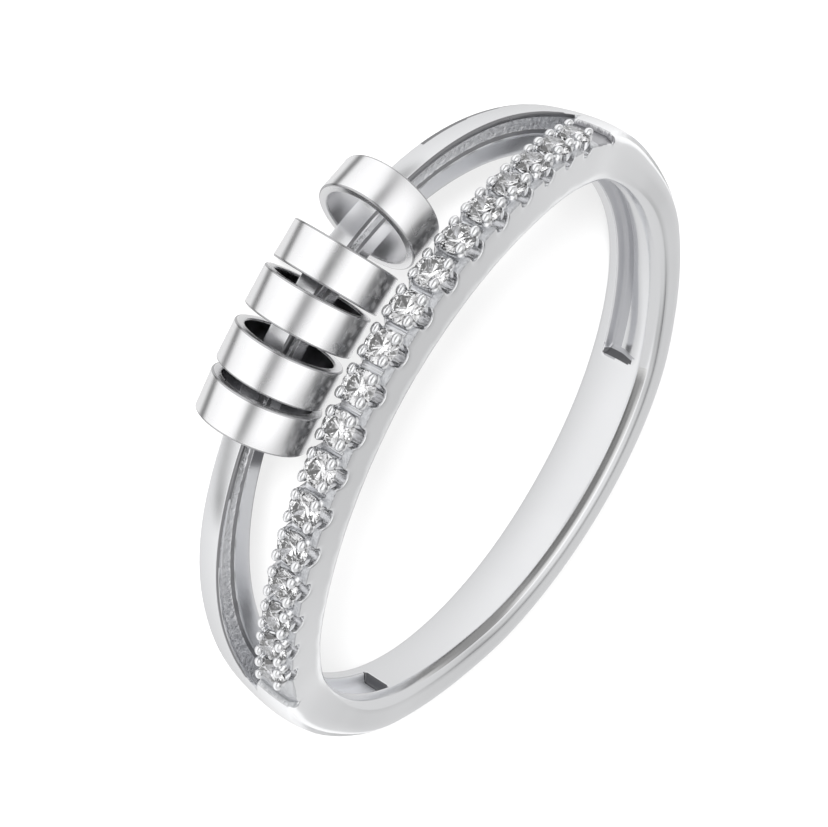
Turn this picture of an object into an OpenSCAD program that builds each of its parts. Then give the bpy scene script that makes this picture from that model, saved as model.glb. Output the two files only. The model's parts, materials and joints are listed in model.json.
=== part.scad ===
// A finger ring with an open front: one rail carries a row of small stones,
// the other carries five loose tube beads that slide and spin.
// Angles run round the ring from the middle of its front. Heights are along the finger.

/* [Band] */
// Inside diameter, where the finger goes
finger_d = 17.2; // [17:0.1:17.6]
// Thickness of the metal, from the finger to the outside
band_t = 1.5; // [1.45:0.05:1.6]
// How far the outside of the slim back is rounded down at its edges
back_dome = 0.25; // [0.2:0.01:0.3]
// Bevel of the back's inner edge on the stones' side
back_bevel = 0.35; // [0.2:0.05:0.4]
// How much the back's stone side swells towards one shoulder and shrinks towards the other
back_swell = 0.15; // [0:0.01:0.16]
// Angle at which the open front ends on each side
opening_half_angle = 68; // [67:1:69]
// How far the middle of the bead rail stands clear of the finger
rail_rise = 0.82; // [0.81:0.01:0.84]
// Angle at which the bead rail's inside meets the finger again
rise_end_angle = 75; // [74:1:77]

/* [Stone rail] */
// Angle from one stone to the next
stone_pitch = 6.65; // [6.6:0.05:6.8]
// Diameter of a stone
stone_d = 0.98; // [0.9:0.02:1]
// From the band's side edge to the line of the stones
stone_inset = 0.6; // [0.58:0.01:0.62]
// Diameter of the grains that hold the stones
grain_d = 0.32; // [0.28:0.02:0.34]

/* [Beads] */
// Outside diameter of a bead
bead_d = 3.06; // [3.04:0.01:3.07]
// Length of a bead along the rail
bead_l = 1.13; // [1.05:0.01:1.14]
// Wall of a bead
bead_wall = 0.27; // [0.25:0.01:0.27]
// Distance from the ring's axis to the middle of a bead
bead_orbit_r = 10.26; // [10.25:0.01:10.27]

/* [Rest] */
// Lean of the ring when it lies on its beads and the edge of its back
lean = 4.73; // [4.7:0.01:4.8]

/* [Hidden] */
STONES = ["stone_01", "stone_02", "stone_03", "stone_04", "stone_05", "stone_06",
          "stone_07", "stone_08", "stone_09", "stone_10", "stone_11", "stone_12",
          "stone_13", "stone_14", "stone_15", "stone_16", "stone_17", "stone_18"];
BEADS = ["bead_1", "bead_2", "bead_3", "bead_4", "bead_5"];

$fn = 48;
finger_r = finger_d / 2;
outer_r = finger_r + band_t;
// Radius inside the finger hole from which the band's blank starts
blank_r = finger_r - 0.4;
// Radii and height that surely lie outside the metal, for the solids that cut it
within_r = blank_r - 0.5;
beyond_r = outer_r + 1.5;
beyond_z = 4;
// One section of the blank each so many degrees
step = 4;

// The blank. Columns: angle from the front, height of the edge on the stones' side,
// height of the edge on the beads' side, share of the back's rounding
EDGES = [[0, 1.90, -1.80, 0],
         [20, 1.88, -1.76, 0],
         [40, 1.74, -1.69, 0.08],
         [60, 1.40, -1.42, 0.35],
         [75, 1.10, -1.12, 0.65],
         [90, 1.03, -0.88, 0.85],
         [105, 1.12, -0.76, 0.97],
         [120, 1.14, -0.74, 1],
         [135, 1.22, -0.77, 1],
         [150, 1.35, -0.80, 1],
         [180, 1.40, -0.84, 1]];
ANGLE = 0;
STONE_EDGE = 1;
BEAD_EDGE = 2;
DOME = 3;

// The open front. Columns: angle, lower edge of the stone rail, upper edge of the bead rail,
// slant of the bead rail's sides
OPENING = [[0, 0.84, -1.10, 0.36],
           [20, 0.82, -1.07, 0.36],
           [40, 0.67, -0.99, 0.36],
           [52, 0.47, -0.82, 0.26],
           [60, 0.26, -0.56, 0.08],
           [65, 0.08, -0.29, 0.03],
           [opening_half_angle, -0.06, -0.08, 0]];
TOP = 1;
BOTTOM = 2;
SLANT = 3;

// The beads. Columns: angle on the rail, turn about the ring's axis, dip of the far end
BEAD_ROWS = [[-20.6, 0, 0],
             [-10.2, 12.5, 3],
             [-2.8, 11, 4],
             [5.6, 8, 5],
             [12.9, 4, 4]];
TURN = 1;
DIP = 2;

// A smooth curve through one column of a table, level at both ends
function row_at(rows, a, i = 0) =
    i >= len(rows) - 2 || a <= rows[i + 1][ANGLE] ? i : row_at(rows, a, i + 1);
function slope(rows, c, i) =
    i == 0 || i == len(rows) - 1 ? 0
    : (rows[i + 1][c] - rows[i - 1][c]) / (rows[i + 1][ANGLE] - rows[i - 1][ANGLE]);
function curve(rows, c, angle) =
    let (a = abs(angle),
         i = row_at(rows, a),
         w = rows[i + 1][ANGLE] - rows[i][ANGLE],
         t = min(1, (a - rows[i][ANGLE]) / w),
         p = rows[i][c],
         q = rows[i + 1][c],
         m = slope(rows, c, i) * w,
         n = slope(rows, c, i + 1) * w)
    p + m * t + (3 * (q - p) - 2 * m - n) * t * t + (2 * (p - q) + m + n) * t * t * t;

function at(a, r, z) = [r * sin(a), -r * cos(a), z];

// A solid skin through rings of points, each a list that runs the same way
module skin(rings, closed) {
    n = len(rings[0]);
    last = len(rings) - 1;
    spans = closed ? last : last - 1;
    sides = [for (k = [0:spans], j = [0:n - 1])
             let (a = k * n, b = ((k + 1) % (last + 1)) * n, m = (j + 1) % n)
             each [[a + j, b + m, b + j], [a + j, a + m, b + m]]];
    ends = closed ? [] : [[for (j = [n - 1:-1:0]) j], [for (j = [0:n - 1]) last * n + j]];
    polyhedron(points = [for (ring = rings) each ring], faces = concat(sides, ends));
}

// Height of the band's edge on the stones' side
function stone_edge(a) =
    curve(EDGES, STONE_EDGE, a) + (abs(a) > 90 ? back_swell * sin(2 * a) : 0);

// A section's outside, from the beads' side up: radius and height of each point
dome_steps = 6;
function outside(a) =
    let (top = stone_edge(a),
         low = curve(EDGES, BEAD_EDGE, a),
         drop = back_dome * curve(EDGES, DOME, a))
    [for (k = [0:dome_steps])
     let (u = 2 * k / dome_steps - 1)
     [outer_r - drop * u * u, (top + low + (top - low) * u) / 2]];

// The band before anything is cut out of it
module blank() {
    rings = [for (a = [-180:step:180 - step])
             let (top = stone_edge(a),
                  low = curve(EDGES, BEAD_EDGE, a),
                  bevel_r = finger_r + back_bevel,
                  bevel_drop = (bevel_r - blank_r) * curve(EDGES, DOME, a),
                  slant = curve(OPENING, SLANT, a))
             concat([at(a, bevel_r, top), at(a, blank_r, top - bevel_drop),
                     at(a, blank_r, low + slant * (outer_r - blank_r))],
                    [for (point = outside(a)) at(a, point[0], point[1])])];
    skin(rings, true);
}

// The open space between the two rails, pointed at both ends
module opening() {
    rings = [for (a = [-opening_half_angle:step / 2:opening_half_angle])
             let (top = curve(OPENING, TOP, a),
                  low = curve(OPENING, BOTTOM, a),
                  slant = curve(OPENING, SLANT, a))
             [at(a, within_r, top), at(a, within_r, low + slant * (outer_r - within_r)),
              at(a, beyond_r, low - slant * (beyond_r - outer_r)), at(a, beyond_r, top)]];
    skin(rings, false);
}

// The bead rail stands clear of the finger, so that the beads do too: its inside is part
// of a circle whose middle is set forward
module under_bead_rail() {
    rail_r = finger_r + rail_rise;
    forward = (rail_r * rail_r - finger_r * finger_r)
              / (2 * (rail_r - finger_r * cos(rise_end_angle)));
    top_z = -0.1;
    translate([0, -forward, -beyond_z])
        cylinder(r = rail_r - forward, h = beyond_z + top_z, $fn = 96);
}

// Hollow worked into the inside of the band, from one shoulder to the solid back
module hollow(from, to) {
    depth = 0.3;
    low_z = -0.35;
    high_z = 0.65;
    start_r = finger_r - 0.2;
    rotate([0, 0, from - 90])
        rotate_extrude(angle = to - from)
            translate([start_r, low_z])
                square([finger_r + depth - start_r, high_z - low_z]);
}

// The girdles of the stones lie a little under the outside of the band
stone_sink = 0.05;
stone_r = outer_r - stone_sink;
function stone_angle(k) = (k - (len(STONES) - 1) / 2) * stone_pitch;
function stone_line(a) = curve(EDGES, STONE_EDGE, a) - stone_inset;

// Turns and moves its children from the top of the world to a place on the rail
module on_rail(a, r, z) {
    translate(at(a, r, z))
        rotate([0, 0, a])
            rotate([90, 0, 0])
                children();
}

// The row of stones sits a little lower than the outside of the band
module stone_bed() {
    bed_r = outer_r - 0.15;
    bed_low_z = 0.3;
    bed_w = 2;
    past_last_stone = 0.6 * stone_pitch;
    row_end = stone_angle(len(STONES) - 1) + past_last_stone;
    rotate([0, 0, -row_end - 90])
        rotate_extrude(angle = 2 * row_end)
            translate([bed_r, bed_low_z])
                square([beyond_r - bed_r, bed_w]);
}

// A drilled seat under a stone
module seat(k) {
    a = stone_angle(k);
    play = 0.04;
    seat_depth = 0.47;
    seat_top = 0.6;
    on_rail(a, stone_r - seat_depth, stone_line(a))
        cylinder(d = stone_d + play, h = seat_depth + seat_top);
}

// A scallop cut across the rail beside a stone, which lets light in from the side
module scallop(k) {
    a = stone_angle(k);
    scallop_d = 0.8;
    scallop_r = outer_r - 0.03;
    before_stone = 0.75;
    scallop_l = 1.7;
    translate(at(a, scallop_r, stone_line(a) - before_stone))
        cylinder(d = scallop_d, h = scallop_l);
}

// Two grains of metal at each joint between stones
module grains(k) {
    a = stone_angle(k) - stone_pitch / 2;
    sides = [-0.31, 0.35];
    foot_r = outer_r - 0.4;
    height = 0.55;
    stem_d = grain_d - 0.02;
    for (side = sides)
        on_rail(a, foot_r, stone_line(a) + side) {
            cylinder(d = stem_d, h = height);
            translate([0, 0, height])
                sphere(d = grain_d);
        }
}

module band() {
    in_place() color("silver")
        difference() {
            union() {
                difference() {
                    blank();
                    opening();
                    under_bead_rail();
                    stone_bed();
                    for (k = [0:len(STONES) - 1])
                        scallop(k);
                    hollow(-147, -78);
                    hollow(78, 110);
                    cylinder(r = finger_r, h = 2 * beyond_z, center = true, $fn = 96);
                }
                for (k = [0:len(STONES)])
                    grains(k);
            }
            for (k = [0:len(STONES) - 1])
                seat(k);
        }
}

// A round brilliant: a flat table, a bevelled crown, a thin girdle and a pointed pavilion
module stone(k) {
    a = stone_angle(k);
    r = stone_d / 2;
    table_r = 0.56 * r;
    crown_h = 0.3 * r;
    girdle_h = 0.06 * r;
    pavilion_h = 0.84 * r;
    table = [for (j = [0:7]) [table_r * cos(45 * j), table_r * sin(45 * j), crown_h + girdle_h]];
    upper = [for (j = [0:15]) [r * cos(22.5 * j), r * sin(22.5 * j), girdle_h]];
    lower = [for (j = [0:15]) [r * cos(22.5 * j), r * sin(22.5 * j), -girdle_h]];
    culet = [[0, 0, -pavilion_h]];
    crown = [for (j = [0:7])
             let (t = j, u = (j + 1) % 8, g = 8 + 2 * j, h = 8 + (2 * j + 1) % 16, i = 8 + (2 * j + 2) % 16)
             each [[t, h, g], [t, u, h], [u, i, h]]];
    girdle = [for (j = [0:15])
              let (m = (j + 1) % 16)
              each [[8 + j, 8 + m, 24 + j], [8 + m, 24 + m, 24 + j]]];
    pavilion = [for (j = [0:15]) [24 + j, 24 + (j + 1) % 16, 40]];
    in_place() color("white")
        on_rail(a, stone_r, stone_line(a))
            polyhedron(points = concat(table, upper, lower, culet),
                       faces = concat([[7, 6, 5, 4, 3, 2, 1, 0]], crown, girdle, pavilion));
}

// Way that a bead's hole points, and how far the bead reaches along a direction
function bead_axis(row) =
    let (a = row[ANGLE] + row[TURN])
    [cos(a) * cos(row[DIP]), sin(a) * cos(row[DIP]), -sin(row[DIP])];
function bead_reach(row, dir) =
    let (d = abs(bead_axis(row) * dir)) bead_d / 2 * sqrt(1 - d * d) + bead_l / 2 * d;

// The surface that the ring lies on touches the outer edge of the back and every bead
edge_y = outer_r - back_dome;
edge_z = curve(EDGES, BEAD_EDGE, 180);
up = [0, -sin(lean), cos(lean)];
function bead_height(row) =
    edge_z + (bead_reach(row, up) + (-bead_orbit_r * cos(row[ANGLE]) - edge_y) * sin(lean)) / cos(lean);

module bead(k) {
    row = BEAD_ROWS[k];
    r = bead_d / 2;
    bore_r = r - bead_wall;
    bevel = 0.05;
    half = bead_l / 2;
    in_place() color("gainsboro")
        translate(at(row[ANGLE], bead_orbit_r, bead_height(row)))
            rotate([0, row[DIP], row[ANGLE] + row[TURN]])
                rotate([0, 90, 0])
                    rotate_extrude()
                        polygon([[bore_r, -half + bevel], [bore_r + bevel, -half],
                                 [r - bevel, -half], [r, -half + bevel],
                                 [r, half - bevel], [r - bevel, half],
                                 [bore_r + bevel, half], [bore_r, half - bevel]]);
}

// Lays the ring down, its origin on the surface below the middle of its outer size
front_y = max([for (row = BEAD_ROWS)
               bead_orbit_r * cos(row[ANGLE]) * cos(lean) - bead_height(row) * sin(lean)
               + bead_reach(row, [0, cos(lean), sin(lean)])]);
back_y = max([for (point = outside(180)) point[0] * cos(lean) + point[1] * sin(lean)]);
lift = edge_y * sin(lean) - edge_z * cos(lean);
module in_place() {
    translate([0, (front_y - back_y) / 2, lift])
        rotate([-lean, 0, 0])
            children();
}

band();
for (k = [0:len(STONES) - 1])
    stone(k);
for (k = [0:len(BEADS) - 1])
    bead(k);
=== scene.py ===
"""Looks of a finger ring with a row of small stones on one rail and loose beads on the other.

Sizes are in millimetres and angles in degrees, in the ring's own frame: the finger runs along Z,
the open front faces -Y, and angles count from the front. Each mesh is laid down with the ring and
scaled to metres at the end.
"""
import json
import math
import bmesh
import bpy
from mathutils import Matrix, Vector, noise


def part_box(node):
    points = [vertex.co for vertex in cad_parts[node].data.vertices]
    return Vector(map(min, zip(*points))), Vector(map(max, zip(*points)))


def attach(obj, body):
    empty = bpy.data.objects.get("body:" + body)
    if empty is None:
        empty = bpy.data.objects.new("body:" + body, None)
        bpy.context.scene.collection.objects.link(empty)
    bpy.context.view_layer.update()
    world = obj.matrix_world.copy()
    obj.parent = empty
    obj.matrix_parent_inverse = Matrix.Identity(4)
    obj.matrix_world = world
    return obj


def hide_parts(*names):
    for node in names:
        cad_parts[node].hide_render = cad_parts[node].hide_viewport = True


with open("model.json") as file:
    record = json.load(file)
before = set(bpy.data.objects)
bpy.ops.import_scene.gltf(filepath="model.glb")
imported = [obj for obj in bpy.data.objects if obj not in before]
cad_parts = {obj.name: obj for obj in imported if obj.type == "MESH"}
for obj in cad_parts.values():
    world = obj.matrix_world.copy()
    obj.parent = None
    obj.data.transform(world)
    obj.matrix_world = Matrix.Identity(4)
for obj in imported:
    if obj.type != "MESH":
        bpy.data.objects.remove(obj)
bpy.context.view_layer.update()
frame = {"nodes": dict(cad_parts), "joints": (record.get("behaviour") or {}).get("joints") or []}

MM = 0.001
RING = "ring"

# Sizes of the band, as in the model
FINGER_R = 8.6
OUTER_R = 10.1
BACK_DOME = 0.25
BACK_BEVEL = 0.35
BACK_SWELL = 0.15
SPLIT = 68
RAIL_RISE = 0.82
RISE_END = 75
STONES = 18
PITCH = 6.65
STONE_D = 0.98
STONE_R = OUTER_R - 0.05
STONE_INSET = 0.6
BEAD_D = 3.06
BEAD_L = 1.13
BEAD_WALL = 0.27

# Angle from the front, upper edge, lower edge, share of the back's rounding
EDGES = [(0, 1.90, -1.80, 0), (20, 1.88, -1.76, 0), (40, 1.74, -1.69, 0.08), (60, 1.40, -1.42, 0.35),
         (75, 1.10, -1.12, 0.65), (90, 1.03, -0.88, 0.85), (105, 1.12, -0.76, 0.97),
         (120, 1.14, -0.74, 1), (135, 1.22, -0.77, 1), (150, 1.35, -0.80, 1), (180, 1.40, -0.84, 1)]
# Angle, lower edge of the stone rail, upper edge of the bead rail, slant of the bead rail's sides
OPENING = [(0, 0.84, -1.10, 0.36), (20, 0.82, -1.07, 0.36), (40, 0.67, -0.99, 0.36),
           (52, 0.47, -0.82, 0.26), (60, 0.26, -0.56, 0.08), (65, 0.08, -0.29, 0.03),
           (SPLIT, -0.07, -0.07, 0)]
TOP, LOW, DOME, SLANT = 1, 2, 3, 3

# The model says where the ring lies: one hinge turns about the ring's own axis
slide = next(j for j in frame["joints"] if j["name"] == "bead_1_slide")
lean = math.atan2(slide["axis"][1], slide["axis"][2])
LAID = (Matrix.Translation(Vector(slide["pos_m"])) @ Matrix.Rotation(-lean, 4, "X")
        @ Matrix.Scale(MM, 4))


def curve(rows, column, angle):
    """A smooth curve through one column of a table, level at both ends."""
    a = abs(angle)
    last = len(rows) - 1
    i = 0
    while i < last - 1 and a > rows[i + 1][0]:
        i += 1

    def slope(k):
        if k in (0, last):
            return 0.0
        return (rows[k + 1][column] - rows[k - 1][column]) / (rows[k + 1][0] - rows[k - 1][0])

    w = rows[i + 1][0] - rows[i][0]
    t = min(1.0, (a - rows[i][0]) / w)
    p, q = rows[i][column], rows[i + 1][column]
    m, n = slope(i) * w, slope(i + 1) * w
    return p + m * t + (3 * (q - p) - 2 * m - n) * t * t + (2 * (p - q) + m + n) * t ** 3


def at(angle, r, z):
    a = math.radians(angle)
    return Vector((r * math.sin(a), -r * math.cos(a), z))


def smooth_step(low, high, x):
    t = min(1.0, max(0.0, (x - low) / (high - low)))
    return t * t * (3 - 2 * t)


def add(name, verts, faces, material, body=RING, node=None, smooth=True):
    """Makes a piece from points in the ring's frame, lays it down and lets it ride on a body."""
    mesh = bpy.data.meshes.new(name)
    mesh.from_pydata([LAID @ v for v in verts], [], faces)
    mesh.materials.append(material)
    mesh.polygons.foreach_set("use_smooth", [smooth] * len(mesh.polygons))
    mesh.update()
    piece = bpy.data.objects.new(name, mesh)
    bpy.context.scene.collection.objects.link(piece)
    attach(piece, body)
    if node:
        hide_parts(node)
    return piece


def even_normals(piece):
    """Keeps flat faces flat where they meet a small rounded edge."""
    piece.modifiers.new("even_normals", "WEIGHTED_NORMAL").weight = 100


# Node trees

def maths_in(tree):
    """Two makers of nodes in a tree: one for sums, one for a soft step from 0 to 1."""
    def calc(operation, *values):
        n = tree.nodes.new("ShaderNodeMath")
        n.operation = operation
        for socket, value in zip(n.inputs, values):
            if isinstance(value, (int, float)):
                socket.default_value = value
            else:
                tree.links.new(value, socket)
        return n.outputs[0]

    def soft_step(value, low, high):
        n = tree.nodes.new("ShaderNodeMapRange")
        n.interpolation_type = "SMOOTHSTEP"
        n.inputs["From Min"].default_value = low
        n.inputs["From Max"].default_value = high
        tree.links.new(value, n.inputs["Value"])
        return n.outputs["Result"]

    return calc, soft_step


def split_xyz(tree, socket):
    """The X, Y and Z of a vector."""
    n = tree.nodes.new("ShaderNodeSeparateXYZ")
    tree.links.new(socket, n.inputs[0])
    return n.outputs


def object_place(tree):
    """The point being shaded, in the piece's own coordinates in metres."""
    return tree.nodes.new("ShaderNodeTexCoord").outputs["Object"]


def grey_ramp(tree, socket, stops):
    """Greys along a value, as pairs of position and brightness."""
    n = tree.nodes.new("ShaderNodeValToRGB")
    tree.links.new(socket, n.inputs["Fac"])
    steps = n.color_ramp.elements
    while len(steps) < len(stops):
        steps.new(0.5)
    for step, (position, light) in zip(steps, stops):
        step.position = position
        step.color = (light, light, light, 1)
    return n.outputs["Color"]


# Materials

# Colour, roughness, scale of the bump, depth of the bump in metres
METALS = {
    "polished": ((0.90, 0.905, 0.92), 0.2, 900, 0.000004),
    "bead": ((0.94, 0.94, 0.95), 0.26, 500, 0.0000005),
    # The rim grey is a painted dark reflection on the beads' rounded rims
    "rim": ((0.5, 0.5, 0.51), 0.25, 500, 0.0000005),
    # The bore greys are painted shade, and painted light where a bore opens to the light
    "bore": ((0.30, 0.30, 0.31), 0.22, 1500, 0.000006),
    "lit_bore": ((0.95, 0.95, 0.96), 0.3, 1500, 0.000006),
    # The seat grey is painted shade in the recessed bed round the stones; its coarse bump is real grain
    "seat": ((0.62, 0.63, 0.65), 0.2, 12000, 0.00008),
    # The hollow greys are painted shade, with a painted shadow at an end and painted light on a floor
    "hollow": ((0.60, 0.605, 0.63), 0.36, 1500, 0.000004),
    "hollow_end_shadow": ((0.16, 0.162, 0.17), 0.4, 1500, 0.000004),
    "hollow_floor_light": ((0.92, 0.93, 0.96), 0.5, 1500, 0.000004),
    "cast": ((0.80, 0.805, 0.82), 0.26, 7000, 0.00012),
    # The leaf grey is painted shade in the leaf-shaped recess at one end of the row
    "leaf": ((0.37, 0.37, 0.39), 0.3, 5000, 0.00005),
    # The fold gets painted reflections: a grey for each angle round the ring
    "fold": ((1.0, 1.0, 1.0), 0.2, 900, 0.000004),
    # The line grey is a painted dark reflection on the bead rail's wall, lip and far edge
    "line": ((0.3, 0.3, 0.31), 0.3, 900, 0.000004),
    # The underside grey is painted shade on the slit wall under the middle stones
    "underside_shade": ((0.16, 0.16, 0.17), 0.4, 3000, 0.000006),
}
CLOUD_SCALE = 700
CLOUD_DETAIL = 3
GRAIN_DETAIL = 4
ROUGHNESS_SPREAD = (0.7, 1.4)
BUMP_STRENGTH = 0.5
STONE_COLOUR = (0.99, 0.99, 1.0)
STONE_IOR = 2.3


def node_material(name):
    m = bpy.data.materials.new(name)
    m.use_nodes = True
    return m, m.node_tree, m.node_tree.nodes["Principled BSDF"].inputs


def metal(name, colour, roughness, grain_scale, grain_depth):
    """Silver with a little unevenness in its gloss and a fine bump."""
    m, tree, inputs = node_material(name)
    inputs["Base Color"].default_value = (*colour, 1)
    inputs["Metallic"].default_value = 1.0
    place = object_place(tree)
    cloud = tree.nodes.new("ShaderNodeTexNoise")
    cloud.inputs["Scale"].default_value = CLOUD_SCALE
    cloud.inputs["Detail"].default_value = CLOUD_DETAIL
    tree.links.new(place, cloud.inputs["Vector"])
    spread = tree.nodes.new("ShaderNodeMapRange")
    spread.inputs["To Min"].default_value = roughness * ROUGHNESS_SPREAD[0]
    spread.inputs["To Max"].default_value = roughness * ROUGHNESS_SPREAD[1]
    tree.links.new(cloud.outputs["Fac"], spread.inputs["Value"])
    tree.links.new(spread.outputs["Result"], inputs["Roughness"])
    grain = tree.nodes.new("ShaderNodeTexNoise")
    grain.inputs["Scale"].default_value = grain_scale
    grain.inputs["Detail"].default_value = GRAIN_DETAIL
    tree.links.new(place, grain.inputs["Vector"])
    bump = tree.nodes.new("ShaderNodeBump")
    bump.inputs["Strength"].default_value = BUMP_STRENGTH
    bump.inputs["Distance"].default_value = grain_depth
    tree.links.new(grain.outputs["Fac"], bump.inputs["Height"])
    tree.links.new(bump.outputs["Normal"], inputs["Normal"])
    return m


metals = {name: metal(name + "_silver", *row) for name, row in METALS.items()}

clear_stone, _, stone_inputs = node_material("clear_stone")
stone_inputs["Base Color"].default_value = (*STONE_COLOUR, 1)
stone_inputs["Roughness"].default_value = 0.0
stone_inputs["IOR"].default_value = STONE_IOR
stone_inputs["Transmission Weight"].default_value = 1.0

# A bead is painted darker where it faces up, a painted reflection of a dark wall: from one normal Z to
# the other, down to this share
UPWARD_FROM = 0.93
UPWARD_TO = 0.998
UPWARD_LIGHT = 0.36


def paint_upward_reflection(name):
    """Paints a metal darker where it faces up: a painted reflection, as a polished bead looks beside a
    dark wall.
    """
    tree = metals[name].node_tree
    normal = tree.nodes.new("ShaderNodeNewGeometry").outputs["Normal"]
    kept = tree.nodes.new("ShaderNodeMapRange")
    kept.interpolation_type = "SMOOTHSTEP"
    tree.links.new(split_xyz(tree, normal)["Z"], kept.inputs["Value"])
    for socket, value in (("From Min", UPWARD_FROM), ("From Max", UPWARD_TO),
                          ("To Min", 1.0), ("To Max", UPWARD_LIGHT)):
        kept.inputs[socket].default_value = value
    painted_reflection_tint = tree.nodes.new("ShaderNodeHueSaturation")
    painted_reflection_tint.inputs["Color"].default_value = (*METALS[name][0], 1)
    tree.links.new(kept.outputs["Result"], painted_reflection_tint.inputs["Value"])
    tree.links.new(painted_reflection_tint.outputs["Color"], tree.nodes["Principled BSDF"].inputs["Base Color"])


def paint_reflection_round(name, stops):
    """Paints a metal a grey for each angle from the front, from the back round to the back again:
    painted reflections of dark surroundings.
    """
    tree = metals[name].node_tree
    calc, _ = maths_in(tree)
    place = split_xyz(tree, object_place(tree))
    ahead = calc("MULTIPLY_ADD", place["Y"], -1.0, slide["pos_m"][1])
    turn = calc("ARCTAN2", place["X"], ahead)
    share = calc("MULTIPLY_ADD", turn, 0.5 / math.pi, 0.5)
    greys = grey_ramp(tree, share, [(0.5 + angle / 360, grey) for angle, grey in stops])
    tree.links.new(greys, tree.nodes["Principled BSDF"].inputs["Base Color"])


paint_upward_reflection("bead")
# The fold's greys are painted dark reflections at some angles round the back
paint_reflection_round("fold", [(-170, 0.7), (-160, 0.6), (-149, 0.45), (-145.5, 0.9), (120, 0.9), (130, 0.5),
                     (136, 0.4), (147, 0.4), (156, 0.65), (170, 0.7)])

for node in frame["nodes"].values():
    node.data.materials.clear()
    node.data.materials.append(metals["polished"])

# The band, swept round the ring in sections

SPLIT_Z = OPENING[-1][TOP]
RAIL_R = FINGER_R + RAIL_RISE
FORWARD = (RAIL_R ** 2 - FINGER_R ** 2) / (2 * (RAIL_R - FINGER_R * math.cos(math.radians(RISE_END))))
# Heights between which the inside goes over from the set-back bead rail to the finger's radius
SET_BACK = (-0.2, -0.06)

# Roundings: of the back's edges, of the rails' edges and lips, and what the shoulders add
EDGE_ROUND = 0.11
LIP_ROUND = 0.045
BEAD_RAIL_ROUND = 0.05
SHOULDER_ROUND = 0.25
# Angles between which each of them goes over from the front to the back, or comes and goes
STONE_EDGE_TURN = (58, 66)
BEAD_EDGE_TURN = (45, 66)
LIP_TURN = (60, SPLIT)
BEVEL_TURN = (74, 105)
SHOULDER_RISE = (62, 76)
SHOULDER_FALL = (88, 112)
# The two facets of the back's inner edge: length against the bevel, turn from the finger's side
FACETS = [(0.85, math.radians(21.7)), (0.8, math.radians(58))]
FACET_SHARES = (0.35, 0.65)
FACET_TIP = 0.06
LAST_TIP = 0.005

# Hollows inside the back, as angles of both ends. Their walls start a little past the ends
HOLLOWS = [(-147, -78), (78, 110)]
HOLLOW_DEPTH = 0.3
HOLLOW_LOW = -0.35
HOLLOW_HIGH = 0.6
HOLLOW_WIDENING = 0.28
WIDENING_TURN = (-120, -142)
HOLLOW_EDGE = 0.2
# How far the walls slope: at the first and the last end, and towards either side
HOLLOW_END = 3
STEEP_END = 0.5
LOW_SIDE = (HOLLOW_LOW - 0.05, HOLLOW_LOW + 0.15)
SOFT_SIDE = 0.75
FIRM_SIDE = 0.25

# The bed along the row of stones, the seats, the scallops beside them and the cuts at the joints
BED_DEPTH = 0.15
BED_HALF = 0.9
BED_SIDE = 0.09
BED_MARGIN = 0.01
LEAF_START = 62
LEAF_RISE = 0.5
SEAT_R = 0.5
SEAT_LIP = 0.02
SEAT_TOP = STONE_R - 0.04
SEAT_SLOPE = 1.1
SCALLOP_R = 0.28
SCALLOP_FLOOR = 9.60
JOINT_CUT = 0.3
JOINT_CUT_HALF = 0.14
JOINT_CUT_SIDE = 0.36

# The rough part of the bead rail's wall: shares of its depth, how far it sinks and how rough it is
ROUGH_RISE = (0.1, 0.2)
ROUGH_FALL = (0.42, 0.5)
ROUGH_SINK = 0.05
ROUGH_HEIGHT = 0.03
ROUGH_WAVES = (1.5, 9)
ROUGH_LAYER = 3

# Points of a section
ARC_STEPS = 5
OUT_STEPS = 44
WALL_STEPS = 4
SLIT_STEPS = 12
INNER_MARKS = [0.06, 0.12, 0.18, 0.24, 0.28, 0.32, 0.36, 0.40, 0.44, 0.50, 0.56]
INNER_REST = (0.2, 0.4, 0.6, 0.8, 1)
INNER_LEAST = 0.6

# Steps between sections in degrees. They are fine round both ends of a hollow: from before its first
# end to past the slope there, and from before its last end to past it
STONE_STEP = PITCH / 25
LEAF_STEP = PITCH / 50
BEAD_RAIL_STEP = 0.65
BACK_STEP = 1.8
HOLLOW_END_STEP = 0.19
FINE_OUTSIDE = 0.5
FINE_PAST_SLOPE = 0.3
FINE_INSIDE = 1
# Points of neighbouring sections that are nearer than this are one
WELD = 0.002


def stone_edge(a):
    """Height of the side edge next to the stones; the back is a little wider on one side."""
    swell = BACK_SWELL * math.sin(math.radians(2 * a)) if abs(a) > 90 else 0.0
    return curve(EDGES, TOP, a) + swell


def stone_angle(k):
    return (k - (STONES - 1) / 2) * PITCH


def stone_line(a):
    return curve(EDGES, TOP, a) - STONE_INSET


def rail_inside(a):
    """Inner radius of the bead rail: part of a circle whose middle is set forward."""
    t = math.radians(a)
    reach = (RAIL_R - FORWARD) ** 2 - (FORWARD * math.sin(t)) ** 2
    return max(FINGER_R, FORWARD * math.cos(t) + math.sqrt(reach))


def hollow_high(a):
    """Height at which a hollow ends towards the stones' side."""
    return HOLLOW_HIGH + HOLLOW_WIDENING * smooth_step(*WIDENING_TURN, a)


def inside(a, z):
    """Radius of the band's inside, with the hollows in its back and the set-back bead rail."""
    r = FINGER_R
    if abs(a) < RISE_END:
        r += (rail_inside(a) - FINGER_R) * (1 - smooth_step(*SET_BACK, z))
    for start, end in HOLLOWS:
        first, last = start - HOLLOW_EDGE, end + HOLLOW_EDGE
        if first < a < last:
            along = smooth_step(first, start + HOLLOW_END, a)
            along *= 1 - smooth_step(end - STEEP_END, last, a)
            slope = SOFT_SIDE if start < 0 else FIRM_SIDE
            high = hollow_high(a)
            across = smooth_step(*LOW_SIDE, z)
            across *= 1 - smooth_step(high - slope, high, z)
            r += HOLLOW_DEPTH * along * across
    return r


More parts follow.
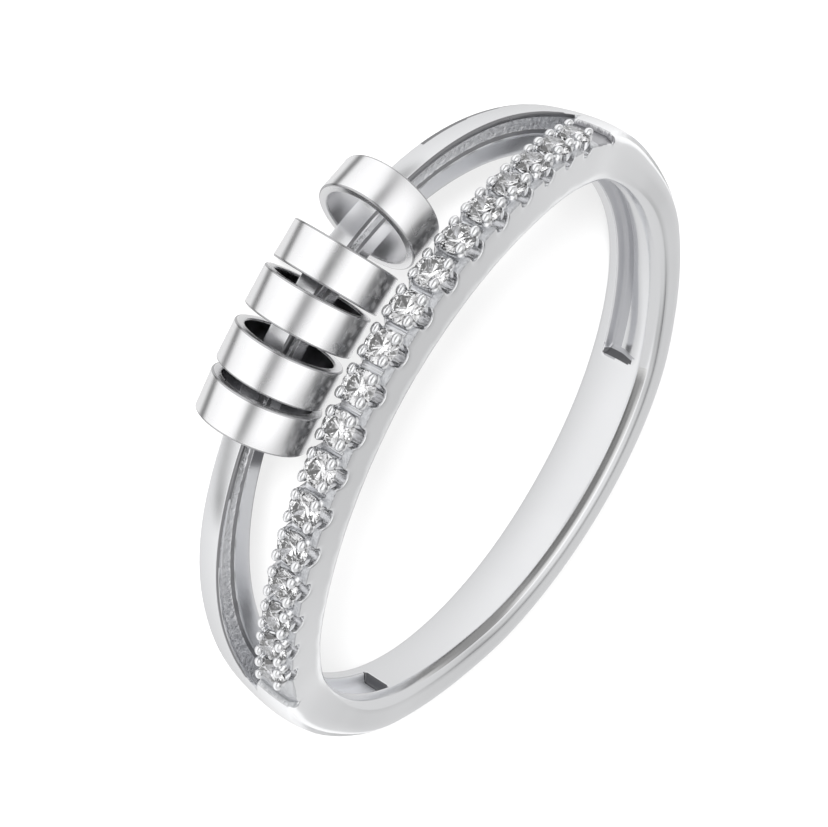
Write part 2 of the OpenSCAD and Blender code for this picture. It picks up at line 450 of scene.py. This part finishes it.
def outer_face(a, z):
    """Radius of the band's outside before the stones are set: domed at the back."""
    top, low = stone_edge(a), curve(EDGES, LOW, a)
    u = (z - (top + low) / 2) / ((top - low) / 2)
    return OUTER_R - BACK_DOME * curve(EDGES, DOME, a) * u * u


def outside(a, z):
    """Radius of the band's outside, cut down along the row of stones."""
    r = outer_face(a, z)
    if abs(a) > SPLIT or z < curve(OPENING, TOP, a) - BED_MARGIN:
        return r
    across = z - stone_line(a)
    to_tip = smooth_step(LEAF_START, SPLIT, abs(a))
    half = BED_HALF * math.sqrt(max(0.0, 1 - to_tip))
    r -= BED_DEPTH * smooth_step(0, BED_SIDE, half - abs(across - LEAF_RISE * to_tip))
    k = round(a / PITCH + (STONES - 1) / 2)
    if not 0 <= k < STONES:
        return r
    along = math.radians(a - stone_angle(k)) * OUTER_R
    d = math.hypot(along, across)
    if d < SEAT_R + SEAT_LIP:
        r = min(r, SEAT_TOP - SEAT_SLOPE * max(0.0, SEAT_R - d))
    if abs(along) < SCALLOP_R:
        r = min(r, SCALLOP_FLOOR + SCALLOP_R - math.sqrt(SCALLOP_R ** 2 - along ** 2))
    to_joint = math.radians(PITCH / 2) * OUTER_R - abs(along)
    if to_joint < JOINT_CUT_HALF and across < JOINT_CUT_SIDE:
        r -= JOINT_CUT * (1 - to_joint / JOINT_CUT_HALF)
    return r


def corner(v, to_in, to_out, radius):
    """Points round a corner, from the side it is entered by to the side it is left by."""
    points = []
    for j in range(ARC_STEPS + 1):
        t = math.pi / 2 * j / ARC_STEPS
        x, y = 1 - math.sin(t), 1 - math.cos(t)
        points.append((v[0] + radius * (x * to_in[0] + y * to_out[0]),
                       v[1] + radius * (x * to_in[1] + y * to_out[1])))
    return points


def back_corner(inner, edge, size):
    """Points from the finger's side up to the side wall: two flat facets with small roundings."""
    facets = [(share * size, (math.sin(turn), math.cos(turn))) for share, turn in FACETS]
    rise = sum(length * way[1] for length, way in facets)
    tip = FACET_TIP * size
    r, z = inner, edge - rise
    points = [(r, z - tip)]
    for length, way in facets:
        points.append((r + tip * way[0], z + tip * way[1]))
        for share in FACET_SHARES:
            points.append((r + length * share * way[0], z + length * share * way[1]))
        r, z = r + length * way[0], z + length * way[1]
        if (length, way) == facets[-1]:
            tip = LAST_TIP * size
        points.append((r - tip * way[0], z - tip * way[1]))
    points.append((r + tip, z))
    return points


def inner_shares(end):
    """Where the points of half the inside lie, as shares from the split line to its end."""
    away = SPLIT_Z if end > 0 else -SPLIT_Z
    shares = [(m - away) / abs(end - SPLIT_Z) for m in INNER_MARKS if m > away]
    rest = [shares[-1] + (1 - shares[-1]) * t for t in INNER_REST]
    return [0] + shares + rest


def upper_path(a):
    """Half a section on the stones' side: inside, side wall, outside. Points are (r, z)."""
    turn = abs(a)
    edge = stone_edge(a)
    lip = curve(OPENING, TOP, a) if turn < SPLIT else SPLIT_Z
    lip_round = LIP_ROUND * (1 - smooth_step(*LIP_TURN, turn))
    inner_round = EDGE_ROUND + (BACK_BEVEL - EDGE_ROUND) * smooth_step(*BEVEL_TURN, turn)
    inner_edge = back_corner(inside(a, edge), edge, inner_round)
    low_z, high_z = lip + lip_round, inner_edge[0][1]
    shares = inner_shares(max(high_z, INNER_LEAST))
    path = corner((inside(a, lip), lip), (1, 0), (0, 1), lip_round)
    for t in shares[1:-1]:
        z = low_z + (high_z - low_z) * t
        path.append((inside(a, z), z))
    path += inner_edge
    rim = outside(a, edge)
    shoulder = smooth_step(*SHOULDER_RISE, turn) * (1 - smooth_step(*SHOULDER_FALL, turn))
    rim_round = LIP_ROUND + (EDGE_ROUND - LIP_ROUND) * smooth_step(*STONE_EDGE_TURN, turn)
    rim_round += SHOULDER_ROUND * shoulder
    r0, r1 = inner_edge[-1][0], rim - rim_round
    path += [(r0 + (r1 - r0) * j / WALL_STEPS, edge) for j in range(1, WALL_STEPS)]
    path += corner((rim, edge), (-1, 0), (0, -1), rim_round)
    high_z = edge - rim_round
    for j in range(1, OUT_STEPS):
        z = high_z + (low_z - high_z) * j / OUT_STEPS
        path.append((outside(a, z), z))
    path += corner((outside(a, lip), lip), (0, 1), (-1, 0), lip_round)
    return path


def lower_path(a):
    """The other half, on the beads' side: outside, side wall, inside."""
    turn = abs(a)
    edge = curve(EDGES, LOW, a)
    lip = curve(OPENING, LOW, a) if turn < SPLIT else SPLIT_Z
    slant = curve(OPENING, SLANT, a) if turn < SPLIT else 0
    lip_round = BEAD_RAIL_ROUND * (1 - smooth_step(*LIP_TURN, turn))
    rim_round = BEAD_RAIL_ROUND + (EDGE_ROUND - BEAD_RAIL_ROUND) * smooth_step(*BEAD_EDGE_TURN, turn)
    shares = inner_shares(curve(EDGES, LOW, max(turn, SPLIT)) + EDGE_ROUND)
    path = corner((outside(a, lip), lip), (-1, 0), (0, -1), lip_round)
    high_z, low_z = lip - lip_round, edge + rim_round
    steps = OUT_STEPS // 2
    for j in range(1, steps):
        z = high_z + (low_z - high_z) * j / steps
        path.append((outside(a, z), z))
    rim = outside(a, edge)
    path += corner((rim, edge), (0, 1), (-1, 0), rim_round)
    r0, r1 = rim - rim_round, inside(a, edge) + rim_round
    path += [(r0 + (r1 - r0) * j / WALL_STEPS, edge) for j in range(1, WALL_STEPS)]
    path += corner((inside(a, edge), edge), (1, 0), (0, 1), rim_round)
    for t in reversed(shares[1:-1]):
        z = high_z + (low_z - high_z) * t
        path.append((inside(a, z), z))
    path += corner((inside(a, lip), lip), (0, -1), (1, 0), lip_round)
    return [(r, z + slant * (OUTER_R - r)) for r, z in path]


def slit_wall(a, start, end, rough):
    """Points down the wall of the open slit, between two (r, z) points."""
    points = []
    for j in range(1, SLIT_STEPS):
        t = j / SLIT_STEPS
        r = start[0] + (end[0] - start[0]) * t
        z = start[1] + (end[1] - start[1]) * t
        if rough:
            band = smooth_step(*ROUGH_RISE, t) * (1 - smooth_step(*ROUGH_FALL, t))
            z -= ROUGH_SINK * band
            wave = Vector((a * ROUGH_WAVES[0], t * ROUGH_WAVES[1], ROUGH_LAYER))
            z += ROUGH_HEIGHT * band * noise.noise(wave)
        points.append((r, z))
    return points


def stone_rail_section(a):
    path = upper_path(a)
    return path + slit_wall(a, path[-1], path[0], False)


def bead_rail_section(a):
    path = lower_path(a)
    return path + slit_wall(a, path[0], path[-1], True)[::-1]


def back_section(a):
    return upper_path(a) + lower_path(a)


def sweep(angles, section):
    """Points and faces of a skin through sections at the angles."""
    verts, faces = [], []
    for i, a in enumerate(angles):
        path = section(a)
        verts += [at(a, r, z) for r, z in path]
        if i:
            n = len(path)
            p, q = (i - 1) * n, i * n
            faces += [(p + j, p + (j + 1) % n, q + (j + 1) % n, q + j) for j in range(n)]
    return verts, faces


def even_angles(start, end, step):
    """Angles from one to the other with even steps of about the given size."""
    steps = round((end - start) / step)
    return [start + (end - start) * i / steps for i in range(steps + 1)]


leaf_angles = even_angles(LEAF_START, SPLIT, LEAF_STEP)
stone_angles = even_angles(-LEAF_START, LEAF_START, STONE_STEP)[1:-1]
front_angles = [-a for a in reversed(leaf_angles)] + stone_angles + leaf_angles
bead_rail_angles = even_angles(-SPLIT, SPLIT, BEAD_RAIL_STEP)
hollow_ends = []
for start, end in HOLLOWS:
    hollow_ends.append((start - FINE_OUTSIDE, start + HOLLOW_END + FINE_PAST_SLOPE))
    hollow_ends.append((end - FINE_INSIDE, end + FINE_OUTSIDE))
back_angles = [SPLIT]
for first, last in sorted((first % 360, last % 360) for first, last in hollow_ends):
    back_angles += even_angles(back_angles[-1], first, BACK_STEP)[1:]
    back_angles += even_angles(first, last, HOLLOW_END_STEP)[1:]
back_angles += even_angles(back_angles[-1], 360 - SPLIT, BACK_STEP)[1:]
back_angles = [(a if a <= 180 else a - 360) for a in back_angles]

band_verts, band_faces = [], []
for angles, section in ((front_angles, stone_rail_section), (bead_rail_angles, bead_rail_section),
                        (back_angles, back_section)):
    verts, faces = sweep(angles, section)
    base = len(band_verts)
    band_verts += verts
    band_faces += [tuple(base + i for i in f) for f in faces]

band_piece = add("silver_band", band_verts, band_faces, metals["polished"], node="band")
welded = bmesh.new()
welded.from_mesh(band_piece.data)
bmesh.ops.remove_doubles(welded, verts=welded.verts, dist=WELD * MM)
bmesh.ops.recalc_face_normals(welded, faces=welded.faces)
welded.to_mesh(band_piece.data)
welded.free()

# Finishes and painted light and shade of the band. The dark lines are painted reflections of dark
# surroundings that the metal mirrors; the greyer bed, leaf, hollows and slit wall under the stones are
# painted shade, and one hollow's floor is painted light

BAND_FINISHES_AND_PAINTED_SHADES = ["polished", "seat", "hollow", "hollow_floor_light", "hollow_end_shadow", "cast", "leaf", "fold",
                 "line", "underside_shade"]
# How near a point has to be to a flat wall to belong to it
NEAR = 0.02
# The stones' row ends here, and the leaf starts, painted darker as shade in its recess
ROW_END = 60.3
# Depths below the outer face that belong to the bed
BED_DEPTHS = (0.05, 0.22)
# Radii that belong to a hollow. Its steep end is painted dark as shadow, or else a painted shadow strip
# lies across its sloping end
HOLLOW_RADII = (FINGER_R + 0.015, OUTER_R - 0.5)
HOLLOW_SHADOW_END = 0.8
HOLLOW_SHADOW_STRIP = (0.7, 1.9)
HOLLOW_SHADE_TOP = 0.1
# The bead rail's wall: a dark line at the outside that narrows, and a thin one halfway down, both
# painted reflections of dark surroundings
WALL_END = SPLIT - 1
WALL_REACH = 0.2
WALL_TOP = 0.04
LINE_SHARE = 0.3
LINE_NARROWS_TO = 42
TOP_LINE_SHARE = 0.1
THIN_LINE = (5 / SLIT_STEPS, 6 / SLIT_STEPS)
CAST_TOP = 0.12
CAST_END = 0.5
# The bead rail's lip and the dark edge on its far side, painted dark reflections, and the slit wall
# under the middle stones, painted dark as shade
LIP_END = SPLIT - 3
FAR_EDGE = (-66, -36)
FAR_EDGE_DEPTH = 0.2
FAR_EDGE_WIDTH = 0.13
UNDERSIDE_END = 27
# The fold of the back's inner edge, painted with greys as reflections of dark surroundings
FOLD_START = 120
FOLD_STOP = -145.5
FOLD_DEPTH = 0.8


def hollow_painted_light_and_shade(a, r, z):
    """The painted light and shade inside a hollow, or nothing: a painted shadow at an end, a light
    painted floor in one hollow, painted shade low down in the other.
    """
    for start, end in HOLLOWS:
        in_length = start - HOLLOW_EDGE < a < end + HOLLOW_EDGE
        in_width = LOW_SIDE[0] < z < hollow_high(a)
        if not (in_length and in_width and HOLLOW_RADII[0] < r < HOLLOW_RADII[1]):
            continue
        if start > 0:
            return "hollow_end_shadow" if end - a < HOLLOW_SHADOW_END else "hollow_floor_light"
        if HOLLOW_SHADOW_STRIP[0] < a - start < HOLLOW_SHADOW_STRIP[1]:
            return "hollow_end_shadow"
        if z < HOLLOW_SHADE_TOP or HOLLOW_SHADOW_STRIP[1] < a - start < HOLLOW_END:
            return "hollow"
    return None


def slit_finish_and_painted_shade(a, r, z):
    """The finish and painted shade on the walls and lips of the open slit and on the bead rail's far
    edge, or nothing: dark lines painted as reflections, painted shade under the middle stones, and the
    rough cast wall.
    """
    slit_top, slit_low = curve(OPENING, TOP, a), curve(OPENING, LOW, a)
    depth = OUTER_R - r
    if abs(a) < WALL_END and abs(z - slit_low) < WALL_REACH and depth > WALL_TOP:
        down = depth / (OUTER_R - inside(a, slit_low))
        line_end = LINE_SHARE * (1 - a / LINE_NARROWS_TO) if a > 0 else TOP_LINE_SHARE
        if down < line_end or THIN_LINE[0] < down < THIN_LINE[1]:
            return "line"
        if depth > CAST_TOP:
            return "cast" if down < CAST_END else "polished"
    if abs(a) < UNDERSIDE_END and depth > CAST_TOP and abs(z - slit_top) < NEAR:
        return "underside_shade"
    on_lip = depth < BEAD_RAIL_ROUND and slit_low - BEAD_RAIL_ROUND < z < slit_low + NEAR
    if abs(a) < LIP_END and on_lip:
        return "line"
    on_edge = depth < FAR_EDGE_DEPTH and z < curve(EDGES, LOW, a) + FAR_EDGE_WIDTH
    if FAR_EDGE[0] < a < FAR_EDGE[1] and on_edge:
        return "line"
    return None


def band_finish_or_painted_shade(place):
    """Which finish or painted light and shade the band has at a point of its surface."""
    a = math.degrees(math.atan2(place.x, -place.y))
    r = math.hypot(place.x, place.y)
    z = place.z
    # The bed round the stones is painted grey as shade in its recess, and at one end the leaf is painted
    # darker still
    if abs(a) < SPLIT and curve(OPENING, TOP, a) + NEAR < z < stone_edge(a):
        if BED_DEPTHS[0] < outer_face(a, z) - r < BED_DEPTHS[1]:
            return "leaf" if a < -ROW_END else "seat"
    finish = hollow_painted_light_and_shade(a, r, z) or slit_finish_and_painted_shade(a, r, z)
    if finish:
        return finish
    if a > FOLD_START or a < FOLD_STOP:
        first, second = [share * BACK_BEVEL * math.cos(turn) for share, turn in FACETS]
        fold_end = stone_edge(a) - second
        if fold_end - first < z < fold_end and r < OUTER_R - FOLD_DEPTH:
            return "fold"
    return "polished"


for name in BAND_FINISHES_AND_PAINTED_SHADES[1:]:
    band_piece.data.materials.append(metals[name])
RING_FRAME = LAID.inverted()
for face in band_piece.data.polygons:
    face.material_index = BAND_FINISHES_AND_PAINTED_SHADES.index(band_finish_or_painted_shade(RING_FRAME @ face.center))
even_normals(band_piece)

# Grains that hold the stones: two pairs at each joint between stones

GRAIN_R = 0.12
GRAIN_LENGTHEN = 1.45
GRAIN_TURN = 1.3
GRAIN_SIDES = (-0.38, 0.36)
GRAIN_FOOT = 0.45
GRAIN_LEAN = 0.1
# Height of the middle of the head above the foot, and where on the head the stem ends
GRAIN_STEM = 0.54
HEAD_START = -0.9
HEAD_RINGS = 7
GRAIN_SEGMENTS = 12
# Radius and height of the stem
STEM_PROFILE = [(0.11, 0), (0.11, 0.3), (0.115, 0.42)]


def grain(angle, side, verts, faces):
    """A short stem with a round head, leaning over the stone."""
    k = min(STONES - 1, max(0, round(angle / PITCH + (STONES - 1) / 2)))
    line = stone_line(angle)
    foot = at(angle, OUTER_R - GRAIN_FOOT, line + side)
    out = at(angle, 1, 0)
    lean_in = (at(stone_angle(k), OUTER_R, line) - at(angle, OUTER_R, line + side)).normalized()
    up = (out + GRAIN_LEAN * lean_in).normalized()
    y = Vector((0, 0, 1))
    x = GRAIN_LENGTHEN * y.cross(up).normalized()
    profile = list(STEM_PROFILE)
    for j in range(HEAD_RINGS):
        t = HEAD_START + (math.pi / 2 - HEAD_START) * j / (HEAD_RINGS - 1)
        profile.append((GRAIN_R * math.cos(t), GRAIN_STEM + GRAIN_R * math.sin(t)))
    base = len(verts)
    for r, h in profile:
        for i in range(GRAIN_SEGMENTS):
            t = 2 * math.pi * i / GRAIN_SEGMENTS
            verts.append(foot + up * h + x * (r * math.cos(t)) + y * (r * math.sin(t)))
    for j in range(len(profile) - 1):
        p, q = base + j * GRAIN_SEGMENTS, base + (j + 1) * GRAIN_SEGMENTS
        for i in range(GRAIN_SEGMENTS):
            n = (i + 1) % GRAIN_SEGMENTS
            faces.append((p + i, p + n, q + n, q + i))


grain_verts, grain_faces = [], []
for k in range(STONES + 1):
    joint = stone_angle(k) - PITCH / 2
    for turn in ([-GRAIN_TURN] if k > 0 else []) + ([GRAIN_TURN] if k < STONES else []):
        for side in GRAIN_SIDES:
            grain(joint + turn, side, grain_verts, grain_faces)
add("grains", grain_verts, grain_faces, metals["polished"])

# Stones: round brilliants

SIDES = 8
# From table to culet, against the stone's radius: radius, height, points, turn in steps
BRILLIANT = [(0.56, 0.33, SIDES, 0), (0.76, 0.22, SIDES, 0.5), (1, 0.03, 2 * SIDES, 0),
             (1, -0.03, 2 * SIDES, 0), (0.32, -0.62, SIDES, 0.5)]
CULET = -0.86


def brilliant(k):
    a = stone_angle(k)
    r = STONE_D / 2
    centre = at(a, STONE_R, stone_line(a))
    up = at(a, 1, 0)
    x = at(a + 90, 1, 0)
    y = Vector((0, 0, 1))
    rings, verts = [], []
    for radius, height, n, shift in BRILLIANT:
        ring = []
        for i in range(n):
            t = 2 * math.pi * (i + shift) / n
            ring.append(len(verts))
            verts.append(centre + r * (radius * (x * math.cos(t) + y * math.sin(t)) + height * up))
        rings.append(ring)
    culet = len(verts)
    verts.append(centre + r * CULET * up)
    table, star, girdle, under, low = rings
    faces = [tuple(table)]
    for i in range(SIDES):
        n = (i + 1) % SIDES
        before = (i - 1) % SIDES
        faces.append((table[i], star[i], table[n]))
        faces.append((table[i], star[before], girdle[2 * i], star[i]))
        faces.append((star[i], girdle[2 * i], girdle[2 * i + 1]))
        faces.append((star[i], girdle[2 * i + 1], girdle[2 * n]))
        faces.append((low[i], under[2 * i + 1], under[2 * i]))
        faces.append((low[i], under[2 * n], under[2 * i + 1]))
        faces.append((low[before], low[i], under[2 * i]))
        faces.append((low[before], culet, low[i]))
    for i in range(2 * SIDES):
        n = (i + 1) % (2 * SIDES)
        faces.append((girdle[i], under[i], under[n], girdle[n]))
    number = "%02d" % (k + 1)
    add("brilliant_" + number, verts, faces, clear_stone, node="stone_" + number,
        smooth=False)


for k in range(STONES):
    brilliant(k)

# Beads: polished tubes with rounded rims

# Angle from the front, turn and dip of the bead's own axis
BEADS = {"bead_1": (-20.6, 0, 0), "bead_2": (-10.2, 12.5, 3), "bead_3": (-2.8, 11, 4),
         "bead_4": (5.6, 8, 5), "bead_5": (12.9, 4, 4)}
BEAD_RIM = 0.05
BEAD_SEGMENTS = 96


def bead(name, angle, turned, dip):
    low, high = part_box(name)
    middle = LAID.inverted() @ ((low + high) / 2)
    a, d = math.radians(angle + turned), math.radians(dip)
    way = Vector((math.cos(a) * math.cos(d), math.sin(a) * math.cos(d), -math.sin(d)))
    x = way.orthogonal().normalized()
    y = way.cross(x)
    r, bore, half, rim = BEAD_D / 2, BEAD_D / 2 - BEAD_WALL, BEAD_L / 2, BEAD_RIM
    profile = (corner((r, -half), (-1, 0), (0, 1), rim) + corner((r, half), (0, -1), (-1, 0), rim)
               + corner((bore, half), (1, 0), (0, -1), rim) + corner((bore, -half), (0, 1), (1, 0), rim))
    verts, faces = [], []
    for i in range(BEAD_SEGMENTS):
        t = 2 * math.pi * i / BEAD_SEGMENTS
        for radius, along in profile:
            verts.append(middle + way * along + radius * (x * math.cos(t) + y * math.sin(t)))
    n = len(profile)
    for i in range(BEAD_SEGMENTS):
        p, q = i * n, (i + 1) % BEAD_SEGMENTS * n
        faces += [(p + j, p + (j + 1) % n, q + (j + 1) % n, q + j) for j in range(n)]
    piece = add("polished_" + name, verts, faces, metals["bead"], body=name,
                node=name)
    # Painted light and shade in the bores: the bore of the first bead opens to the light and is painted
    # light, the others face a neighbour and are painted dark as shade
    piece.data.materials.append(metals["lit_bore" if name == "bead_1" else "bore"])
    # The rims get a darker grey, a painted dark reflection
    piece.data.materials.append(metals["rim"])
    points = ARC_STEPS + 1
    in_bore = 3 * points - 1
    for i, face in enumerate(piece.data.polygons):
        if i % n == in_bore:
            face.material_index = 1
        elif i % n < 2 * points - 1 and i % points != points - 1:
            face.material_index = 2
    even_normals(piece)


for name, row in BEADS.items():
    bead(name, *row)

# Floor and light

FLOOR_HALF = 1.5


def floor_plane(name, height, material):
    """A flat square in metres about the origin."""
    mesh = bpy.data.meshes.new(name)
    h = FLOOR_HALF
    corners = [(-h, -h, height), (h, -h, height), (h, h, height), (-h, h, height)]
    mesh.from_pydata(corners, [], [(0, 1, 2, 3)])
    mesh.materials.append(material)
    o = bpy.data.objects.new(name, mesh)
    bpy.context.scene.collection.objects.link(o)
    return o


# The floor that the camera sees: white, with a faint soft shadow
FLOOR_COLOUR = (0.25, 0.25, 0.25)
FLOOR_ROUGHNESS = 0.9
FLOOR_GLOW = 0.68
floor_material, _, floor_inputs = node_material("white_floor")
floor_inputs["Base Color"].default_value = (*FLOOR_COLOUR, 1)
floor_inputs["Roughness"].default_value = FLOOR_ROUGHNESS
floor_inputs["Specular IOR Level"].default_value = 0.0
floor_inputs["Emission Color"].default_value = (1, 1, 1, 1)
floor_inputs["Emission Strength"].default_value = FLOOR_GLOW
floor = floor_plane("floor", 0, floor_material)
floor.visible_glossy = False

# The floor that the metal mirrors, a glowing sheet that only reflections see, painted greyer round the
# ring as the ring's shade. Pairs of distance from the ring's axis and brightness
MIRROR = [(4.5, 0.95), (8.5, 0.68), (10.5, 0.74), (12.5, 0.98), (14.5, 1.1)]
MIRROR_PEAK = 1.2
MIRROR_REACH = 20
MIRROR_LIFT = 0.01
# A dark strip on it close in front of the beads, a painted contact shadow, and how far out and how far
# back it fades
STRIP_R = 11.95
STRIP_CORE = 0.04
STRIP_HALF = 0.4
STRIP_SHARE = 0.88
STRIP_FADE_Y = -9.0
STRIP_END_Y = -8.0
mirror_material = bpy.data.materials.new("mirror_floor")
mirror_material.use_nodes = True
mirror_tree = mirror_material.node_tree
mirror_tree.nodes.clear()
calc, soft_step = maths_in(mirror_tree)
mirror_place = split_xyz(mirror_tree, object_place(mirror_tree))
side, ahead = mirror_place["X"], mirror_place["Y"]
ahead_of_centre = calc("SUBTRACT", ahead, slide["pos_m"][1])
from_axis = calc("SQRT", calc("ADD", calc("MULTIPLY", side, side),
                              calc("MULTIPLY", ahead_of_centre, ahead_of_centre)))
off_strip = calc("ABSOLUTE", calc("SUBTRACT", from_axis, STRIP_R * MM))
in_strip = calc("SUBTRACT", 1.0, soft_step(off_strip, STRIP_CORE * MM, STRIP_HALF * MM))
in_front = calc("SUBTRACT", 1.0, soft_step(ahead, STRIP_FADE_Y * MM, STRIP_END_Y * MM))
strip = calc("MULTIPLY", in_strip, in_front)
kept = calc("SUBTRACT", 1.0, calc("MULTIPLY", strip, STRIP_SHARE))
mirror_greys = grey_ramp(mirror_tree, calc("DIVIDE", from_axis, MIRROR_REACH * MM),
                         [(r / MIRROR_REACH, light / MIRROR_PEAK) for r, light in MIRROR])
mirror_glow = mirror_tree.nodes.new("ShaderNodeEmission")
mirror_tree.links.new(mirror_greys, mirror_glow.inputs["Color"])
mirror_tree.links.new(calc("MULTIPLY", kept, MIRROR_PEAK), mirror_glow.inputs["Strength"])
mirror_out = mirror_tree.nodes.new("ShaderNodeOutputMaterial")
mirror_tree.links.new(mirror_glow.outputs["Emission"], mirror_out.inputs["Surface"])
mirror = floor_plane("mirror_floor", MIRROR_LIFT * MM, mirror_material)
mirror.visible_camera = False
mirror.visible_diffuse = False
mirror.visible_transmission = False
mirror.visible_shadow = False

# What the metal mirrors: brightness against the angle from the front horizon over the top
SKY = [(0, 1.15), (11, 1.15), (18, 0.16), (27, 0.12), (42, 0.95), (60, 1.2), (85, 1.2), (101, 0.85),
       (112, 0.5), (123, 0.22), (133, 0.08), (140, 0.1), (148, 0.55), (165, 0.68), (180, 0.75)]
SKY_PEAK = 1.5
# Both sides are plain grey, with a dark foot on the side of the first beads
SIDE_LIGHT = 0.72
FOOT_LIGHT = 0.1
FOOT_TOP = (0.12, 0.2)
FOOT_LEFT = (0.3, 0.5)
FOOT_BACK = (0.45, 0.65)
SIDE_TURN = (0.45, 0.65)
SIDE_BEHIND = 0.4
world = bpy.data.worlds.new("studio")
bpy.context.scene.world = world
world.use_nodes = True
sky_tree = world.node_tree
sky_tree.nodes.clear()
calc, soft_step = maths_in(sky_tree)
way = split_xyz(sky_tree, sky_tree.nodes.new("ShaderNodeTexCoord").outputs["Generated"])
over_top = calc("ARCTAN2", way["Z"], calc("MULTIPLY", way["Y"], -1.0))
sky_greys = grey_ramp(sky_tree, calc("DIVIDE", over_top, math.pi),
                      [(angle / 180, light / SKY_PEAK) for angle, light in SKY])
above_foot = soft_step(way["Z"], *FOOT_TOP)
on_left = soft_step(calc("MULTIPLY", way["X"], -1.0), *FOOT_LEFT)
not_back = calc("SUBTRACT", 1.0, soft_step(way["Y"], *FOOT_BACK))
foot = calc("MULTIPLY", calc("MULTIPLY", on_left, not_back), calc("SUBTRACT", 1.0, above_foot))
side_light = calc("SUBTRACT", SIDE_LIGHT, calc("MULTIPLY", foot, SIDE_LIGHT - FOOT_LIGHT))
behind = calc("MULTIPLY", way["Y"], SIDE_BEHIND)
sideways = soft_step(calc("ADD", calc("ABSOLUTE", way["X"]), behind), *SIDE_TURN)
front_part = calc("MULTIPLY", sky_greys, calc("SUBTRACT", 1.0, sideways))
side_part = calc("MULTIPLY", side_light, calc("DIVIDE", sideways, SKY_PEAK))
glow = sky_tree.nodes.new("ShaderNodeBackground")
sky_tree.links.new(calc("ADD", front_part, side_part), glow.inputs["Color"])
glow.inputs["Strength"].default_value = SKY_PEAK
world_out = sky_tree.nodes.new("ShaderNodeOutputWorld")
sky_tree.links.new(glow.outputs["Background"], world_out.inputs["Surface"])

# Camera: fitted to the photograph in the ring's own frame
IMAGE_W, IMAGE_H = 828, 827
ELEVATION, AZIMUTH, ROLL = (math.radians(a) for a in (26.12, 1.30, 118.78))
DISTANCE = 55.99
PX_PER_MM = 33.15
CENTRE_PX = (468.09, 433.06)
SENSOR = 36.0
CLIP_START, CLIP_END = 0.001, 10
back = Vector((math.sin(AZIMUTH) * math.cos(ELEVATION), -math.cos(AZIMUTH) * math.cos(ELEVATION),
               math.sin(ELEVATION)))
level = Vector((math.cos(AZIMUTH), math.sin(AZIMUTH), 0))
above = back.cross(level)
cam_x = math.cos(ROLL) * level + math.sin(ROLL) * above
cam_y = -math.sin(ROLL) * level + math.cos(ROLL) * above
shift_x = (CENTRE_PX[0] - IMAGE_W / 2) / PX_PER_MM
shift_y = -(CENTRE_PX[1] - IMAGE_H / 2) / PX_PER_MM
eye = -shift_x * cam_x - shift_y * cam_y + DISTANCE * back
camera_data = bpy.data.cameras.new("camera")
camera_data.sensor_width = SENSOR
camera_data.lens = SENSOR * PX_PER_MM * DISTANCE / IMAGE_W
camera_data.clip_start = CLIP_START
camera_data.clip_end = CLIP_END
camera = bpy.data.objects.new("camera", camera_data)
bpy.context.scene.collection.objects.link(camera)
turned = Matrix.Rotation(-lean, 3, "X") @ Matrix((cam_x, cam_y, back)).transposed()
camera.matrix_world = Matrix.Translation(LAID @ eye) @ turned.to_4x4()
bpy.context.scene.camera = camera
bpy.context.scene.view_settings.view_transform = "Standard"

# A soft light in metres beside the camera keeps the floor white and its shadows behind the ring
KEY_DISTANCE = 0.25
KEY_LEFT = 0.1
KEY_UP = 0.12
KEY_POWER = 2.5
KEY_SIZE = 0.06
key = bpy.data.lights.new("key", "AREA")
key.energy = KEY_POWER
key.size = KEY_SIZE
key_place = bpy.data.objects.new("key", key)
key_way = turned @ Vector((-KEY_LEFT, KEY_UP, 1))
key_place.location = KEY_DISTANCE * key_way.normalized()
key_place.rotation_euler = key_way.to_track_quat("Z", "Y").to_euler()
key_place.visible_glossy = False
key_place.visible_transmission = False
bpy.context.scene.collection.objects.link(key_place)
